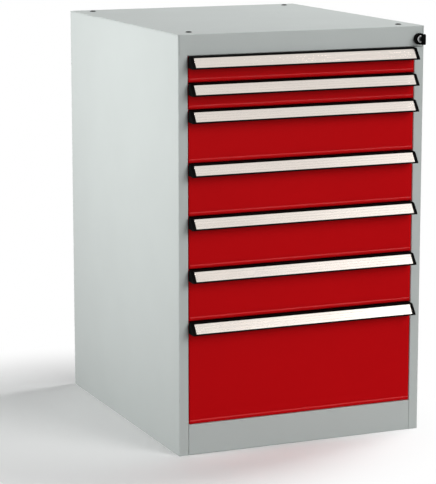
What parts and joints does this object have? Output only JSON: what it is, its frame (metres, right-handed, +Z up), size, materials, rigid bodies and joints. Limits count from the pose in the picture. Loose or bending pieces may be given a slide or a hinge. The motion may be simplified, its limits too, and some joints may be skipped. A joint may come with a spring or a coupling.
{
  "type": "industrial drawer cabinet",
  "caption": "Steel workshop cabinet with drawers of several heights on telescopic runners, hooded grips faced in aluminium, and a key-operated bar that locks the drawers.",
  "frame": {"origin": "on the floor, under the middle of the whole box, key and grips included", "axes": "+Z up, the drawer fronts face -Y, +X to the right as seen from the front"},
  "size_m": [0.51, 0.6258, 0.802],
  "materials": {
    "grey_powder_coat": "light grey powder coat, satin, very fine texture",
    "red_powder_coat": "deep red powder coat, satin",
    "black_plastic": "black moulded plastic, semi-matt",
    "anodised_aluminium": "clear anodised extrusion with fine lengthwise lines",
    "zinc_plated_steel": "bright zinc-plated sheet",
    "chrome": "polished"
  },
  "bodies": {
    "cabinet": {"left_side_panel": "grey_powder_coat", "right_side_panel": "grey_powder_coat", "top_panel": "grey_powder_coat", "rear_panel": "grey_powder_coat", "bottom_panel": "grey_powder_coat", "plinth_front": "grey_powder_coat", "left_runner_rack": "zinc_plated_steel", "right_runner_rack": "zinc_plated_steel", "lock_collar": "black_plastic", "top_plug_front_left": "black_plastic", "top_plug_front_right": "black_plastic", "top_plug_rear_left": "black_plastic", "top_plug_rear_right": "black_plastic"},
    "drawer_1": {"drawer_1_front": "red_powder_coat", "drawer_1_tray": "grey_powder_coat", "drawer_1_grip": "black_plastic", "drawer_1_strip": "anodised_aluminium"},
    "runner_1": {"runner_1_left": "zinc_plated_steel", "runner_1_right": "zinc_plated_steel"},
    "drawer_2": {"drawer_2_front": "red_powder_coat", "drawer_2_tray": "grey_powder_coat", "drawer_2_grip": "black_plastic", "drawer_2_strip": "anodised_aluminium"},
    "runner_2": {"runner_2_left": "zinc_plated_steel", "runner_2_right": "zinc_plated_steel"},
    "drawer_3": {"drawer_3_front": "red_powder_coat", "drawer_3_tray": "grey_powder_coat", "drawer_3_grip": "black_plastic", "drawer_3_strip": "anodised_aluminium"},
    "runner_3": {"runner_3_left": "zinc_plated_steel", "runner_3_right": "zinc_plated_steel"},
    "drawer_4": {"drawer_4_front": "red_powder_coat", "drawer_4_tray": "grey_powder_coat", "drawer_4_grip": "black_plastic", "drawer_4_strip": "anodised_aluminium"},
    "runner_4": {"runner_4_left": "zinc_plated_steel", "runner_4_right": "zinc_plated_steel"},
    "drawer_5": {"drawer_5_front": "red_powder_coat", "drawer_5_tray": "grey_powder_coat", "drawer_5_grip": "black_plastic", "drawer_5_strip": "anodised_aluminium"},
    "runner_5": {"runner_5_left": "zinc_plated_steel", "runner_5_right": "zinc_plated_steel"},
    "drawer_6": {"drawer_6_front": "red_powder_coat", "drawer_6_tray": "grey_powder_coat", "drawer_6_grip": "black_plastic", "drawer_6_strip": "anodised_aluminium"},
    "runner_6": {"runner_6_left": "zinc_plated_steel", "runner_6_right": "zinc_plated_steel"},
    "drawer_7": {"drawer_7_front": "red_powder_coat", "drawer_7_tray": "grey_powder_coat", "drawer_7_grip": "black_plastic", "drawer_7_strip": "anodised_aluminium"},
    "runner_7": {"runner_7_left": "zinc_plated_steel", "runner_7_right": "zinc_plated_steel"},
    "lock_cylinder": {"lock_cylinder": "chrome", "lock_cam": "zinc_plated_steel"},
    "lock_bar": {"lock_bar": "zinc_plated_steel"},
    "key": {"key_bow": "black_plastic", "key_blade": "chrome"}
  },
  "joints": [
    {"name": "drawer_1_slide", "type": "slide", "parent": "cabinet", "child": "drawer_1", "axis": [0, -1, 0], "range_m": [0, 0.5]},
    {"name": "runner_1_slide", "type": "slide", "parent": "cabinet", "child": "runner_1", "axis": [0, -1, 0], "range_m": [0, 0.25]},
    {"name": "drawer_2_slide", "type": "slide", "parent": "cabinet", "child": "drawer_2", "axis": [0, -1, 0], "range_m": [0, 0.5]},
    {"name": "runner_2_slide", "type": "slide", "parent": "cabinet", "child": "runner_2", "axis": [0, -1, 0], "range_m": [0, 0.25]},
    {"name": "drawer_3_slide", "type": "slide", "parent": "cabinet", "child": "drawer_3", "axis": [0, -1, 0], "range_m": [0, 0.5]},
    {"name": "runner_3_slide", "type": "slide", "parent": "cabinet", "child": "runner_3", "axis": [0, -1, 0], "range_m": [0, 0.25]},
    {"name": "drawer_4_slide", "type": "slide", "parent": "cabinet", "child": "drawer_4", "axis": [0, -1, 0], "range_m": [0, 0.5]},
    {"name": "runner_4_slide", "type": "slide", "parent": "cabinet", "child": "runner_4", "axis": [0, -1, 0], "range_m": [0, 0.25]},
    {"name": "drawer_5_slide", "type": "slide", "parent": "cabinet", "child": "drawer_5", "axis": [0, -1, 0], "range_m": [0, 0.5]},
    {"name": "runner_5_slide", "type": "slide", "parent": "cabinet", "child": "runner_5", "axis": [0, -1, 0], "range_m": [0, 0.25]},
    {"name": "drawer_6_slide", "type": "slide", "parent": "cabinet", "child": "drawer_6", "axis": [0, -1, 0], "range_m": [0, 0.5]},
    {"name": "runner_6_slide", "type": "slide", "parent": "cabinet", "child": "runner_6", "axis": [0, -1, 0], "range_m": [0, 0.25]},
    {"name": "drawer_7_slide", "type": "slide", "parent": "cabinet", "child": "drawer_7", "axis": [0, -1, 0], "range_m": [0, 0.5]},
    {"name": "runner_7_slide", "type": "slide", "parent": "cabinet", "child": "runner_7", "axis": [0, -1, 0], "range_m": [0, 0.25]},
    {"name": "lock_turn", "type": "hinge", "parent": "cabinet", "child": "lock_cylinder", "pos_m": [0.243, -0.28705, 0.775], "axis": [0, -1, 0], "range_deg": [0, 90]},
    {"name": "lock_bar_lift", "type": "slide", "parent": "cabinet", "child": "lock_bar", "axis": [0, 0, -1], "range_m": [0, 0.01]},
    {"name": "key_pull", "type": "slide", "parent": "lock_cylinder", "child": "key", "axis": [0, -1, 0], "range_m": [0, 0.018]}
  ],
  "couplings": [
    {"joint": "runner_1_slide", "follows": "drawer_1_slide", "ratio": 0.5},
    {"joint": "runner_2_slide", "follows": "drawer_2_slide", "ratio": 0.5},
    {"joint": "runner_3_slide", "follows": "drawer_3_slide", "ratio": 0.5},
    {"joint": "runner_4_slide", "follows": "drawer_4_slide", "ratio": 0.5},
    {"joint": "runner_5_slide", "follows": "drawer_5_slide", "ratio": 0.5},
    {"joint": "runner_6_slide", "follows": "drawer_6_slide", "ratio": 0.5},
    {"joint": "runner_7_slide", "follows": "drawer_7_slide", "ratio": 0.5},
    {"joint": "lock_turn", "follows": "lock_bar_lift", "rad_per_m": 157.08}
  ]
}
